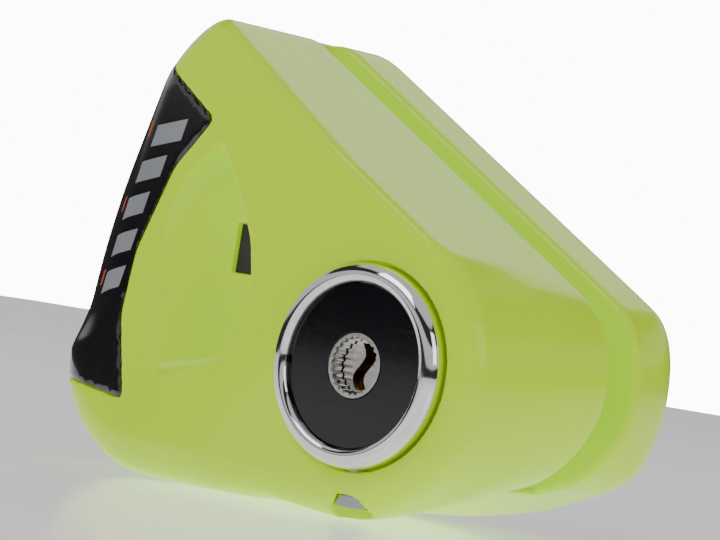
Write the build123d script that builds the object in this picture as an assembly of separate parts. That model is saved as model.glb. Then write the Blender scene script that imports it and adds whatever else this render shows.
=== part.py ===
from build123d import *
import os
from math import acos, atan2, cos, hypot, pi, radians, sin

# Push-down disc brake lock with an alarm compartment.
# Millimetres. Origin on the locking pin's axis, in the middle of the disc slot.
# -Y is the key side, +X points to the nose, +Z is up, and the lock rests on its flat underside.

# --- casting, side view (X to the nose, Z up) -------------------------------------------------
SLOT_W = 7.0               # gap that the brake disc enters
FACE_Y = -31.3             # plane of the boss around the lock cylinder
BACK_Y = 21.0              # outer face of the far jaw
BASE_Z = -21.0             # flat underside
NOSE_X = 7.3               # centre of the round nose
NOSE_Z = 2.3
NOSE_R = 14.4
NOSE_TURN = -25.0          # degrees where the nose runs into the belly
TOP_X = -40.5              # centre of the round top corner
TOP_Z = 45.8
TOP_R = 5.0
TOP_TURN = 97.0            # degrees round the top corner where the cap arc begins
TOP_PART = 15.0            # degrees to a point that the top corner's arc passes through
SHOULDER_X = -55.2         # upper left corner
SHOULDER_Z = 39.4
SHOULDER_R = 7.0
SIDE_MIDDLE = (-61.4, 20.0)
SIDE_LOW = (-63.6, -5.0)
LEFT_X = -63.4             # bulging left end
HEEL_X = -53.5             # lower left corner
HEEL_Z = -17.0
UNDER_X = -40.0            # where the flat underside starts
UNDER_R = 14.0
BELLY_X = -0.5             # where the underside turns up to the nose
# --- casting, seen from above -----------------------------------------------------------------
SIDE_R = 14.0              # round between a broad face and the left end
FRONT_Y = -26.0            # key-side face at the left end
SLOPE_X = -18.0            # key-side face falls back to the left from here
END_MARGIN = 0.3           # plan reaches this far past the side view's left end
OVERRUN = 15.0             # raw block stands this far in front before the face is cut
BOSS_EDGE = 3.0            # round along the boss's front edge
TAIL_Y = 9.0               # far jaw starts to taper here
TAIL_IN = 5.0              # how far the nose comes in by the back face
BROAD_R = 4.0              # round along the edges of the key-side face
BACK_EDGE_R = 10.0         # round along the edges of the far jaw's outer face
BOSS_START = (11.0, 17.5)  # where the boss edge leaves the key-side face
BOSS_END_X = 5.0           # the boss edge is cut back only beyond this
FRONT_TILT = 0.064         # key-side face leans back by this much per mm of height
# --- slot -------------------------------------------------------------------------------------
THROAT = [(-44.5, 60.0), (-41.6, 45.0), (-31.0, 20.0), (-16.5, -2.5), (-6.0, -11.5),
          (8.6, -14.2), (45.0, -16.0), (60.0, 60.0)]
THROAT_R = 6.0
# --- lock cylinder and plunger ----------------------------------------------------------------
PLUNGER_R = 14.0
BOSS_WALL = 6.0            # boss round the plunger, before its edge is rounded
BOSS_R = PLUNGER_R + BOSS_WALL
RUN_GAP = 0.07             # radial running clearance of plunger, pin, plug and button
FLOOR_GAP = 0.3            # plunger stops this far short of the bore's floor
BORE_END_Y = -10.0         # floor of the plunger's bore
RING_PROUD = 2.5           # bezel ring stands this far out of the boss
RING_W = 2.7               # width of the bezel ring
RING_IN_R = PLUNGER_R - RING_W
RING_LIP = 0.9             # small round along that opening
PLATE_T = 1.3              # hard face plate
FIT_GAP = 0.05             # pieces that are assembled one in another
KEYHOLE_R = 4.45
SLEEVE_T = 0.75            # wall of the ribbed keyhole sleeve
SLEEVE_DEPTH = 0.8         # sleeve reaches this far behind the face plate
SLEEVE_FLANGE = 1.0
SLEEVE_RIBS = 24
RIB_R = 0.28
PIN_R = 7.0
PIN_REACH = 6.0            # how far the pin enters the far jaw
PIN_SPIGOT_R = 4.6
TRAVEL = 13.5              # plunger stroke
PIN_CHAMFER = 1.2
PLUG_END_Y = -19.5         # end of the plug's cavity
CAGE_Y = (-30.3, -22.95)
CAGE_FLOOR = 0.8
DISC_R = 7.1
CAGE_WALL = 1.25
PLUG_R = DISC_R + FIT_GAP + CAGE_WALL  # rotating plug
FRONT_DISC_Y = (-30.25, -29.25)
DISC_START = -28.9
DISC_T = 0.55
SPACER_T = 0.25
DISC_COUNT = 6
NOTCH_TURN = 17.0          # degrees from one disc's notch to the next
NOTCH_DEPTH = 0.6
KEY_W = 1.9                # width of the wave-shaped keyway
KEY_H = 6.4                # its height
KEY_SWING = 0.8            # how far it waves to each side
KEY_STEPS = 8              # points along its centre line
SIDEBAR_X = (-0.8, 0.8)
SIDEBAR_Y = (-28.9, -24.2)
SIDEBAR_T = 1.1
CAM_Y = (-22.85, -19.85)
CAM_SHY = 0.3              # cam's long half axis is this much under the plug's radius
CAM_RISE = 1.8             # difference of the cam's half axes
CAM_LONG = PLUG_R - CAM_SHY
CAM_SHORT = CAM_LONG - CAM_RISE
CAM_GAP = 0.35
DOG_MID_Y = -21.35
DOG_W = 5.0
DOG_T = 2.6
DOG_SHY = 0.2              # dogs at rest stay this far inside the plunger's surface
DOG_TIP_R = PLUNGER_R - DOG_SHY
DOG_STROKE = 2.0
LATCH_R = DOG_TIP_R + DOG_STROKE + 0.4
DOG_Y = (-23.1, -19.6)     # groove in the casting that the dogs enter
SPRING_FLOOR_Y = -17.0     # rear counterbore of the plunger
SKIRT_T = 2.8              # wall of the plunger round the spring
SPRING_POCKET_R = PLUNGER_R - SKIRT_T
SPRING_WIRE = 1.4
SPRING_TURNS = 3.6
SPRING_GAP = 0.1
GROOVE_W = 4.3             # guide groove along the plunger
GROOVE_DEPTH = 2.0
GUIDE_Y = -28.0
GUIDE_R = 2.0
GUIDE_HEAD_R = 2.6
GUIDE_HEAD_Z = -19.0
GUIDE_SEAT_Z = -17.5
GUIDE_TIP_GAP = 0.25
GUIDE_KEY_R = 1.2
GUIDE_KEY_DEPTH = 1.0
BUSH_T = 1.6               # hard bushes in both jaws
BUSH_INSET = 0.2
CUP_FLOOR = 1.2
CUP_GAP = 0.6
WIPER_Y = (-18.6, -17.2)
WIPER_W = 1.6              # how far the wiper reaches into the casting
WIPER_OUT_R = PLUNGER_R + WIPER_W
WIPER_BITE = 0.03
# --- alarm compartment ------------------------------------------------------------------------
ROOM_X = (-56.0, -33.0)
ROOM_Y = (-17.0, 15.5)
ROOM_Z = (-12.0, 27.0)
ROOM_R = 3.0
WINDOW_Y = (-10.0, 11.0)
WINDOW_Z = (-5.0, 22.0)
COVER_ZONE = [(-75.0, 53.1), (-37.0, 31.0), (-43.5, 23.6), (-48.3, 11.0), (-48.8, 1.5),
              (-44.8, -10.4), (-75.0, -6.9)]
SEAT_END_X = -30.0         # the cover's seat is drawn only left of this
SEAT_TOP = 1.0             # and this far below the top corner
COVER_T = 1.5              # black side cover that wraps the left end
COVER_GAP = 0.05
COVER_CORNER_R = 1.5
COVER_BACK_Y = 14.5        # where the cover ends on the rounded back edge
GASKET_T = 1.0
GASKET_W = 2.0
GASKET_AWAY = 1.0          # gasket starts this far out from the window
CASE_WALL = 1.2
CASE_GAP = 0.4
BATTERY_R = 7.8
BATTERY_Z = (-8.95, 17.85)
CELL_GAP = 0.5             # between the cell and the back wall of its case
BATTERY_X = -44.5
BATTERY_AT = (BATTERY_X, ROOM_Y[1] - CASE_GAP - CASE_WALL - BATTERY_R - CELL_GAP)
CELL_CAP_R = 3.0
CELL_CAP_T = 1.0
CONTACT_T = 0.4
CONTACT_SPRING_R = 4.0
CONTACT_WIRE = 0.7
CONTACT_TURNS = 4.0
BOARD_Y = (-7.4, -6.2)
BOARD_EDGE = 1.5
CHIPS = [(-49.0, 18.5, 5.0, 5.0, 1.4), (-41.5, 19.5, 4.0, 2.6, 1.0), (-51.0, -5.0, 3.2, 6.0, 2.2),
         (-38.5, -4.5, 2.4, 4.4, 1.2), (-44.5, -6.0, 4.6, 2.0, 0.9)]
PIEZO_R = 8.5
PIEZO_T = 3.0
PIEZO_Z = 8.0
SENSOR_R = 1.8
SENSOR_Z = (17.5, 24.0)
SENSOR_X = -38.0
SWITCH_X = (-31.5, -21.5)
SWITCH_Y = (-16.6, -10.4)
SWITCH_Z = (-6.0, 0.0)
BUTTON_R = 1.4
BUTTON_GAP = 0.35          # switch button stays this far off the plunger
BUTTON_Y = -13.5
BUTTON_Z = -3.0
# --- recess -----------------------------------------------------------------------------------
RECESS_FLOOR_Y = -22.5
RECESS = [(-34.4, 27.9), (-28.0, 20.0), (-24.4, 14.9), (-22.4, 8.5), (-22.1, 3.0), (-26.5, -2.4),
          (-43.6, -7.6), (-44.8, 7.0), (-43.3, 15.6), (-40.5, 21.4)]
PORT_AT = (-30.5, 13.5)
PORT_SIZE = (4.4, 7.0)
PORT_DEPTH = 2.5
RECESS_CORNER_R = 1.5
INSERT_SHY = 1.0           # port insert sits this far below the recess floor

SLOT_H = SLOT_W / 2
PIN_TIP_Y = SLOT_H + PIN_REACH
FAR_BUSH_END = PIN_TIP_Y + CUP_GAP + CUP_FLOOR
RUNNING_BORE_R = PLUNGER_R + RUN_GAP
FAR_AWAY = 60.0


def prism_y(sketch_face, y0, y1):
    """Extrude a face drawn in X and Z from depth y0 to depth y1."""
    placed = Plane(origin=(0, y0, 0), x_dir=(1, 0, 0), z_dir=(0, -1, 0)).location * sketch_face
    return extrude(placed, amount=-(y1 - y0))


def rod_y(radius, y0, y1, x=0.0, z=0.0):
    """Round bar along Y."""
    return Pos(x, (y0 + y1) / 2, z) * Rot(90, 0, 0) * Cylinder(radius, y1 - y0)


def rod_x(radius, x0, x1, y=0.0, z=0.0):
    """Round bar along X."""
    return Pos((x0 + x1) / 2, y, z) * Rot(0, 90, 0) * Cylinder(radius, x1 - x0)


def rod_z(radius, z0, z1, x=0.0, y=0.0):
    """Round bar along Z."""
    return Pos(x, y, (z0 + z1) / 2) * Cylinder(radius, z1 - z0)


def block(x, y, z):
    """Box between two corners, each axis given as (low, high)."""
    size = (x[1] - x[0], y[1] - y[0], z[1] - z[0])
    middle = ((x[0] + x[1]) / 2, (y[0] + y[1]) / 2, (z[0] + z[1]) / 2)
    return Pos(*middle) * Box(*size)


def tangent_to_nose():
    """Points where the top edge leaves the top corner and meets the nose."""
    dx = NOSE_X - TOP_X
    dz = NOSE_Z - (TOP_Z - TOP_R)
    gap = hypot(dx, dz)
    turn = atan2(dz, dx) + acos((TOP_R - NOSE_R) / gap)
    start = (TOP_X + TOP_R * cos(turn), TOP_Z - TOP_R + TOP_R * sin(turn))
    end = (NOSE_X + NOSE_R * cos(turn), NOSE_Z + NOSE_R * sin(turn))
    return start, end


def outline():
    """Side view of the casting: bulging left end, straight top edge, round nose, flat underside."""
    start, end = tangent_to_nose()
    cap = radians(TOP_TURN)
    top = (TOP_X + TOP_R * cos(cap), TOP_Z - TOP_R + TOP_R * sin(cap))
    part = cap - radians(TOP_PART)
    cap_middle = (TOP_X + TOP_R * cos(part), TOP_Z - TOP_R + TOP_R * sin(part))
    low = radians(NOSE_TURN)
    nose_low = (NOSE_X + NOSE_R * cos(low), NOSE_Z + NOSE_R * sin(low))
    belly = (BELLY_X, BASE_Z)
    with BuildSketch() as sketch:
        with BuildLine():
            Line(start, end)
            nose = ThreePointArc(end, (NOSE_X + NOSE_R, NOSE_Z), nose_low)
            TangentArc(nose_low, belly, tangent=nose % 1)
            Line(belly, (UNDER_X, BASE_Z))
            side = ThreePointArc((SHOULDER_X, SHOULDER_Z), SIDE_MIDDLE, SIDE_LOW)
            heel = TangentArc(SIDE_LOW, (HEEL_X, HEEL_Z), tangent=side % 1)
            TangentArc(heel @ 1, (UNDER_X, BASE_Z), tangent=heel % 1)
            TangentArc(top, (SHOULDER_X, SHOULDER_Z), tangent=(-sin(cap), cos(cap)))
            ThreePointArc(top, cap_middle, start)
        make_face()
        fillet(sketch.vertices().sort_by_distance((SHOULDER_X, SHOULDER_Z))[0], SHOULDER_R)
        fillet(sketch.vertices().sort_by_distance((UNDER_X, BASE_Z))[0], UNDER_R)
        fillet(sketch.vertices().sort_by_distance(belly)[0], UNDER_R)
    return sketch.face()


def plan():
    """Casting seen from above: round left end, flat faces, boss that widens to the slot."""
    slot_x = NOSE_X + NOSE_R
    left = LEFT_X - END_MARGIN
    with BuildSketch() as sketch:
        with BuildLine():
            Line((SLOPE_X, FACE_Y), (BOSS_R, FACE_Y))
            Line((BOSS_R, FACE_Y), (slot_x, -SLOT_H))
            Line((slot_x, -SLOT_H), (slot_x, TAIL_Y))
            Line((slot_x, TAIL_Y), (slot_x - TAIL_IN, BACK_Y))
            Line((slot_x - TAIL_IN, BACK_Y), (left + SIDE_R, BACK_Y))
            corner = SIDE_R * (1 - cos(pi / 4))
            ThreePointArc((left + SIDE_R, BACK_Y), (left + corner, BACK_Y - corner), (left, BACK_Y - SIDE_R))
            Line((left, BACK_Y - SIDE_R), (left, FRONT_Y + SIDE_R))
            ThreePointArc((left, FRONT_Y + SIDE_R), (left + corner, FRONT_Y + corner),
                          (left + SIDE_R, FRONT_Y))
            Line((left + SIDE_R, FRONT_Y), (SLOPE_X, FACE_Y))
        make_face()
    return sketch.face()


def front_cut():
    """Everything in front of the key-side face, which leans back towards the top corner."""
    slope = (FRONT_Y - FACE_Y) / (LEFT_X + SIDE_R - SLOPE_X)
    face = Plane(origin=(SLOPE_X, FACE_Y, 0), z_dir=(slope, -1.0, FRONT_TILT))
    aligned = (Align.CENTER, Align.CENTER, Align.MIN)
    return face.location * Box(300, 300, 60, align=aligned)


def face_toward(solid, sign):
    """The broad face whose outward normal points along Y with this sign."""
    broad = [face for face in solid.faces() if face.normal_at().Y * sign > 0.9]
    return max(broad, key=lambda face: face.area)


def envelope():
    """Whole outer shape of the casting."""
    body = prism_y(outline(), FACE_Y - OVERRUN, BACK_Y) - front_cut()
    body = fillet(face_toward(body, -1).edges(), BROAD_R)
    body = fillet(face_toward(body, 1).edges(), BACK_EDGE_R)
    return body & extrude(Pos(0, 0, -FAR_AWAY) * plan(), amount=2 * FAR_AWAY)


def seat_side(inset):
    """Side view of the cover's seat: the left bulge drawn in by inset, closed by straight edges."""
    shoulder = (SHOULDER_X + inset, SHOULDER_Z - inset / 2)
    middle = (SIDE_MIDDLE[0] + inset, SIDE_MIDDLE[1])
    low = (SIDE_LOW[0] + inset, SIDE_LOW[1])
    with BuildSketch() as sketch:
        with BuildLine():
            ThreePointArc(shoulder, middle, low)
            Line(low, (low[0], HEEL_Z))
            Line((low[0], HEEL_Z), (SEAT_END_X, HEEL_Z))
            Line((SEAT_END_X, HEEL_Z), (SEAT_END_X, TOP_Z - SEAT_TOP - inset))
            Line((SEAT_END_X, TOP_Z - SEAT_TOP - inset), (TOP_X, TOP_Z - SEAT_TOP - inset))
            Line((TOP_X, TOP_Z - SEAT_TOP - inset), shoulder)
        make_face()
    return sketch.face()


def seat_plan(inset):
    """The seat from above: round left end between the two broad faces."""
    left = LEFT_X - END_MARGIN + inset
    front = FRONT_Y + inset
    back = BACK_Y - inset
    radius = SIDE_R - inset
    corner = radius * (1 - cos(pi / 4))
    deep = front + (FACE_Y - FRONT_Y) / (SLOPE_X - LEFT_X - SIDE_R) * (SEAT_END_X - left - radius)
    with BuildSketch() as sketch:
        with BuildLine():
            Line((SEAT_END_X, deep), (SEAT_END_X, back))
            Line((SEAT_END_X, back), (left + radius, back))
            ThreePointArc((left + radius, back), (left + corner, back - corner), (left, back - radius))
            Line((left, back - radius), (left, front + radius))
            ThreePointArc((left, front + radius), (left + corner, front + corner), (left + radius, front))
            Line((left + radius, front), (SEAT_END_X, deep))
        make_face()
    return sketch.face()


def cover_seat(inset):
    """Solid that the cover, or its seal, lies on."""
    body = prism_y(seat_side(inset), FACE_Y - OVERRUN, BACK_Y - inset) - Pos(0, inset, 0) * front_cut()
    return body & extrude(Pos(0, 0, -FAR_AWAY) * seat_plan(inset), amount=2 * FAR_AWAY)


def boss_trim():
    """Waste outside the cone from the boss to the slot, with a rounded edge, on the nose's side only."""
    reach = hypot(NOSE_X, NOSE_Z) + NOSE_R
    cone = Pos(0, (FACE_Y - SLOT_H) / 2, 0) * Rot(90, 0, 0) * Cone(reach, BOSS_R, -SLOT_H - FACE_Y)
    cone = fillet(cone.edges().sort_by(Axis.Y)[0], BOSS_EDGE)
    wedge = Polyline((0, 0), BOSS_START, (FAR_AWAY, FAR_AWAY), (FAR_AWAY, -FAR_AWAY),
                     (BOSS_END_X, -FAR_AWAY), (BOSS_END_X, 0), close=True)
    return prism_y(make_face(wedge).face(), FACE_Y - 1, -SLOT_H) - cone


def slot_cutter():
    """Space that the brake disc enters, open at the top, at the nose and below the nose."""
    path = Polyline(*THROAT, close=True)
    sketch = make_face(path)
    inner = [v for v in sketch.vertices() if v.Z < 40 and v.Y < 40 and v.X < 8]
    sketch = fillet(inner, THROAT_R)
    return prism_y(sketch.face(), -SLOT_H, SLOT_H)


def recess_cutter():
    """Finger scoop in the key-side face, deepest by the cylinder, with its small port."""
    sketch = fillet(make_face(Polyline(*RECESS, close=True)).vertices(), RECESS_CORNER_R)
    scoop = prism_y(sketch.face(), FACE_Y - 5, RECESS_FLOOR_Y)
    lean = (RECESS_FLOOR_Y - FRONT_Y) / (RECESS[6][0] - RECESS[3][0])
    floor = Plane(origin=(RECESS[3][0], RECESS_FLOOR_Y, 0), z_dir=(lean, 1.0, 0.0))
    waste = floor.location * Box(200, 200, 60, align=(Align.CENTER, Align.CENTER, Align.MIN))
    x, z = PORT_AT
    w, h = PORT_SIZE
    port = block((x - w / 2, x + w / 2), (RECESS_FLOOR_Y - 5, RECESS_FLOOR_Y + PORT_DEPTH),
                 (z - h / 2, z + h / 2))
    return (scoop - waste) + port


def cover_region(grow):
    """Zone of the left end that the black side cover wraps, seen from the key side."""
    shape = Polyline(*COVER_ZONE, close=True)
    sketch = make_face(shape)
    inner = [v for v in sketch.vertices() if v.X > -58]
    sketch = fillet(inner, COVER_CORNER_R)
    if grow > 0:
        sketch = offset(sketch, amount=grow)
    return prism_y(sketch.face(), FACE_Y - 10, COVER_BACK_Y + grow)


def room():
    """Alarm compartment with its window in the left wall."""
    main = block(ROOM_X, ROOM_Y, ROOM_Z)
    main = fillet(main.edges().filter_by(Axis.Y), ROOM_R)
    window = block((LEFT_X - 5, ROOM_X[1] - 10), WINDOW_Y, WINDOW_Z)
    return main + window


def switch_room():
    """Pocket beside the plunger's bore that holds the switch."""
    y = (SWITCH_Y[0] - CASE_GAP, SWITCH_Y[1] + CASE_GAP)
    z = (SWITCH_Z[0] - CASE_GAP, SWITCH_Z[1] + CASE_GAP)
    return block((ROOM_X[1] - 2, SWITCH_X[1] + CASE_GAP), y, z)


def body_casting(shell, inner):
    """Die-cast housing: both jaws, the cylinder's bore and the alarm compartment."""
    body = shell - boss_trim() - slot_cutter() - recess_cutter()
    body -= (shell & cover_region(COVER_GAP)) - inner
    body -= room()
    body -= switch_room()
    body -= rod_y(RUNNING_BORE_R, FACE_Y - 5, BORE_END_Y)
    body -= rod_y(PIN_R + BUSH_T, BORE_END_Y - 1, -SLOT_H + 1)
    body -= rod_y(PIN_R + BUSH_T, SLOT_H - 1, FAR_BUSH_END)
    body -= rod_y(LATCH_R, DOG_Y[0], DOG_Y[1])
    body -= rod_y(WIPER_OUT_R, WIPER_Y[0], WIPER_Y[1])
    body -= rod_x(BUTTON_R + RUN_GAP, SWITCH_X[1] - 1, -PLUNGER_R + 2, BUTTON_Y, BUTTON_Z)
    body -= rod_z(GUIDE_R, BASE_Z - 1, -PLUNGER_R + 2, 0, GUIDE_Y)
    body -= rod_z(GUIDE_HEAD_R, BASE_Z - 1, GUIDE_SEAT_Z, 0, GUIDE_Y)
    return body


def side_cover(shell, inner):
    """Black cover that wraps the left end and closes the alarm compartment."""
    return (shell & cover_region(0)) - inner


def bezel_ring():
    """Domed bright ring round the face plate."""
    front = FACE_Y - RING_PROUD
    round_r = PLUNGER_R - RING_IN_R - RING_LIP
    crown = PLUNGER_R - round_r
    diagonal = round_r * cos(pi / 4)
    with BuildSketch() as profile:
        with BuildLine():
            Line((RING_IN_R, FACE_Y), (PLUNGER_R, FACE_Y))
            Line((PLUNGER_R, FACE_Y), (PLUNGER_R, front + round_r))
            ThreePointArc((PLUNGER_R, front + round_r), (crown + diagonal, front + round_r - diagonal),
                          (crown, front))
            ThreePointArc((crown, front), (RING_IN_R + RING_LIP * 0.3, front + RING_LIP * 0.3),
                          (RING_IN_R, front + RING_LIP))
            Line((RING_IN_R, front + RING_LIP), (RING_IN_R, FACE_Y))
        make_face()
    return revolve(profile.face(), axis=Axis.Y)


def keyway(scale):
    """Wave-shaped key profile, drawn in X and Z."""
    width = KEY_W * scale
    left = [(x - width / 2, z) for x, z in key_points()]
    right = [(x + width / 2, z) for x, z in reversed(key_points())]
    with BuildSketch() as sketch:
        with BuildLine():
            Spline(*left)
            Line(left[-1], right[0])
            Spline(*right)
            Line(right[-1], left[0])
        make_face()
    return sketch.face()


def key_points():
    """Centre line of the key profile."""
    heights = [KEY_H * (step / KEY_STEPS - 0.5) for step in range(KEY_STEPS + 1)]
    return [(KEY_SWING * sin(2 * pi * z / KEY_H), z) for z in heights]


def face_plate():
    """Dark polished hard plate with the keyhole."""
    plate = rod_y(RING_IN_R - FIT_GAP, FACE_Y - PLATE_T, FACE_Y)
    return plate - rod_y(KEYHOLE_R, FACE_Y - PLATE_T - 1, FACE_Y + 1)


def keyhole_sleeve():
    """Ribbed bright sleeve in the keyhole, with a flange behind the face plate."""
    outer = KEYHOLE_R - FIT_GAP
    tube = rod_y(outer, FACE_Y - PLATE_T, FACE_Y + SLEEVE_DEPTH) + rod_y(
        outer + SLEEVE_FLANGE, FACE_Y + FIT_GAP, FACE_Y + SLEEVE_DEPTH)
    tube -= rod_y(outer - SLEEVE_T, FACE_Y - PLATE_T - 1, FACE_Y + SLEEVE_DEPTH + 1)
    for index in range(SLEEVE_RIBS):
        angle = 2 * pi * index / SLEEVE_RIBS
        x = (outer - SLEEVE_T) * cos(angle)
        z = (outer - SLEEVE_T) * sin(angle)
        tube -= rod_y(RIB_R, FACE_Y - PLATE_T - 1, FACE_Y + SLEEVE_DEPTH + 1, x, z)
    return tube


def plunger_barrel():
    """Steel plunger that carries the lock cylinder and slides in the casting."""
    barrel = rod_y(PLUNGER_R, FACE_Y, BORE_END_Y - FLOOR_GAP)
    barrel -= rod_y(PLUG_R + RUN_GAP, FACE_Y - 1, PLUG_END_Y)
    barrel -= rod_y(SPRING_POCKET_R, SPRING_FLOOR_Y, BORE_END_Y + 1)
    barrel -= rod_y(PIN_SPIGOT_R, PLUG_END_Y - 1, SPRING_FLOOR_Y + 1)
    dog_z = (-DOG_W / 2 - RUN_GAP, DOG_W / 2 + RUN_GAP)
    dog_y = (DOG_MID_Y - DOG_T / 2 - RUN_GAP, DOG_MID_Y + DOG_T / 2 + RUN_GAP)
    barrel -= block((-PLUNGER_R - 1, PLUNGER_R + 1), dog_y, dog_z)
    groove_end = GUIDE_Y + TRAVEL + GROOVE_W / 2
    half = GROOVE_W / 2
    barrel -= block((-half, half), (GUIDE_Y - half, groove_end), (-PLUNGER_R - 1, -PLUNGER_R + GROOVE_DEPTH))
    return barrel


def locking_pin():
    """Hardened pin that passes through the brake disc."""
    tip = PIN_TIP_Y
    pin = rod_y(PIN_R, SPRING_FLOOR_Y, tip)
    pin = chamfer(pin.edges().sort_by(Axis.Y)[-1], PIN_CHAMFER)
    return pin + rod_y(PIN_SPIGOT_R, PLUG_END_Y + 0.05, SPRING_FLOOR_Y)


def plug_cage():
    """Rotating cage round the discs, open at the front, with a slot for the sidebar."""
    cage = rod_y(PLUG_R, CAGE_Y[0], CAGE_Y[1])
    cage -= rod_y(DISC_R + FIT_GAP, CAGE_Y[0] - 1, CAGE_Y[1] - CAGE_FLOOR)
    return cage - block(SIDEBAR_X, SIDEBAR_Y, (PLUG_R - SIDEBAR_T, PLUG_R + 1))


def sidebar():
    """Bar that drops into the discs' notches when the right key turns them."""
    bar = block((SIDEBAR_X[0] + FIT_GAP, SIDEBAR_X[1] - FIT_GAP),
                (SIDEBAR_Y[0] + FIT_GAP, SIDEBAR_Y[1] - FIT_GAP), (PLUG_R - SIDEBAR_T, PLUG_R))
    return bar & rod_y(PLUG_R, CAGE_Y[0], CAGE_Y[1])


def front_disc():
    """Front disc of the plug, with the wave-shaped keyway."""
    disc = rod_y(DISC_R, FRONT_DISC_Y[0], FRONT_DISC_Y[1])
    return disc - prism_y(keyway(1.0), FRONT_DISC_Y[0] - 1, FRONT_DISC_Y[1] + 1)


def disc_stack(first, thickness, pitch, count, widen):
    """Discs in a row along the plug, each with the keyway and a sidebar notch."""
    solids = []
    hole = prism_y(keyway(widen), first - 1, first + pitch * count + 2)
    for index in range(count):
        start = first + pitch * index
        disc = rod_y(DISC_R, start, start + thickness) - hole
        notch = block(SIDEBAR_X, (start - 1, start + thickness + 1), (DISC_R - NOTCH_DEPTH, DISC_R + 1))
        solids.append(disc - Rot(0, NOTCH_TURN * index, 0) * notch)
    return Compound(children=solids)


def drive_cam():
    """Oval cam behind the cage that moves the latch dogs."""
    oval = make_face(Ellipse(CAM_SHORT, CAM_LONG).edges())
    return prism_y(oval.face(), CAM_Y[0], CAM_Y[1])


def latch_dog(sign):
    """Latch dog that slides out of the plunger into the casting's groove."""
    dog = block((CAM_SHORT + CAM_GAP, DOG_TIP_R), (DOG_MID_Y - DOG_T / 2, DOG_MID_Y + DOG_T / 2),
                (-DOG_W / 2, DOG_W / 2))
    dog &= rod_y(DOG_TIP_R, DOG_Y[0] - 2, DOG_Y[1] + 2)
    return dog if sign > 0 else Rot(0, 180, 0) * dog


def plunger_spring():
    """Coil round the pin that pushes the plunger out."""
    radius = (PIN_R + SPRING_POCKET_R) / 2
    rise = BORE_END_Y - SPRING_FLOOR_Y - SPRING_WIRE - 2 * SPRING_GAP
    coil = Helix(pitch=rise / SPRING_TURNS, height=rise, radius=radius)
    start = coil @ 0
    section = Plane(origin=start, z_dir=coil % 0) * Circle(SPRING_WIRE / 2)
    wire = sweep(section, path=coil, is_frenet=True)
    return Pos(0, SPRING_FLOOR_Y + SPRING_WIRE / 2 + SPRING_GAP, 0) * Rot(-90, 0, 0) * wire


def bush(y0, y1):
    """Hard sleeve in a jaw."""
    return rod_y(PIN_R + BUSH_T - FIT_GAP, y0, y1) - rod_y(PIN_R + RUN_GAP, y0 - 1, y1 + 1)


def far_bush():
    """Hard cup in the far jaw that takes the end of the pin."""
    cup = rod_y(PIN_R + BUSH_T - FIT_GAP, SLOT_H + BUSH_INSET, FAR_BUSH_END - 0.1)
    return cup - rod_y(PIN_R + RUN_GAP, SLOT_H - 1, FAR_BUSH_END - CUP_FLOOR)


def wiper_ring():
    """Rubber ring in the bore that keeps dirt off the plunger."""
    ring = rod_y(WIPER_OUT_R - 0.02, WIPER_Y[0] + 0.05, WIPER_Y[1] - 0.05)
    return ring - rod_y(RUNNING_BORE_R - WIPER_BITE, WIPER_Y[0] - 1, WIPER_Y[1] + 1)


def guide_screw():
    """Screw from below whose point runs in the plunger's groove and stops it at full stroke."""
    point = -PLUNGER_R + GROOVE_DEPTH - GUIDE_TIP_GAP
    shank = rod_z(GUIDE_R - FIT_GAP, GUIDE_HEAD_Z, point, 0, GUIDE_Y)
    head = rod_z(GUIDE_HEAD_R - FIT_GAP, GUIDE_HEAD_Z, GUIDE_SEAT_Z, 0, GUIDE_Y)
    socket = Pos(0, GUIDE_Y, GUIDE_HEAD_Z) * extrude(RegularPolygon(GUIDE_KEY_R, 6), amount=GUIDE_KEY_DEPTH)
    return shank + head - socket


def gasket(inner, core):
    """Rubber seal round the window, under the side cover."""
    y0, y1 = WINDOW_Y
    z0, z1 = WINDOW_Z
    out = GASKET_AWAY + GASKET_W
    near = GASKET_AWAY
    x = (LEFT_X - 5, LEFT_X + 12)
    ring = block(x, (y0 - out, y1 + out), (z0 - out, z1 + out))
    ring -= block((x[0] - 1, x[1] + 1), (y0 - near, y1 + near), (z0 - near, z1 + near))
    return (inner - core) & ring


def room_within(gap):
    """Alarm compartment's box, drawn in by gap, as (x, y, z) ranges."""
    return tuple((low + gap, high - gap) for low, high in (ROOM_X, ROOM_Y, ROOM_Z))


def alarm_case():
    """Plastic tray of the alarm module, open towards the window."""
    x, y, z = room_within(CASE_GAP)
    tray = block((x[0] + CASE_WALL, x[1]), y, z)
    tray = fillet(tray.edges().filter_by(Axis.Y), ROOM_R - CASE_GAP)
    w = CASE_WALL
    return tray - block((x[0], x[1] - w), (y[0] + w, y[1] - w), (z[0] + w, z[1] - w))


def case_lid():
    """Lid of the alarm module, with a lip that enters the tray and sound slits."""
    x, y, z = room_within(CASE_GAP)
    w = CASE_WALL
    inset = w + 0.1
    lid = block((x[0], x[0] + w), (y[0] + ROOM_R, y[1] - ROOM_R), (z[0] + ROOM_R, z[1] - ROOM_R))
    lid += block((x[0] + w - 0.1, x[0] + 2 * w), (y[0] + inset, y[1] - inset), (z[0] + inset, z[1] - inset))
    hollow = inset + w
    lid -= block((x[0] + w, x[0] + 3 * w), (y[0] + hollow, y[1] - hollow), (z[0] + hollow, z[1] - hollow))
    for index in range(5):
        z_slit = PIEZO_Z + (index - 2) * 3.0
        lid -= block((x[0] - 1, x[0] + 3 * w), (-5.0, 5.0), (z_slit - 0.5, z_slit + 0.5))
    return lid


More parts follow.
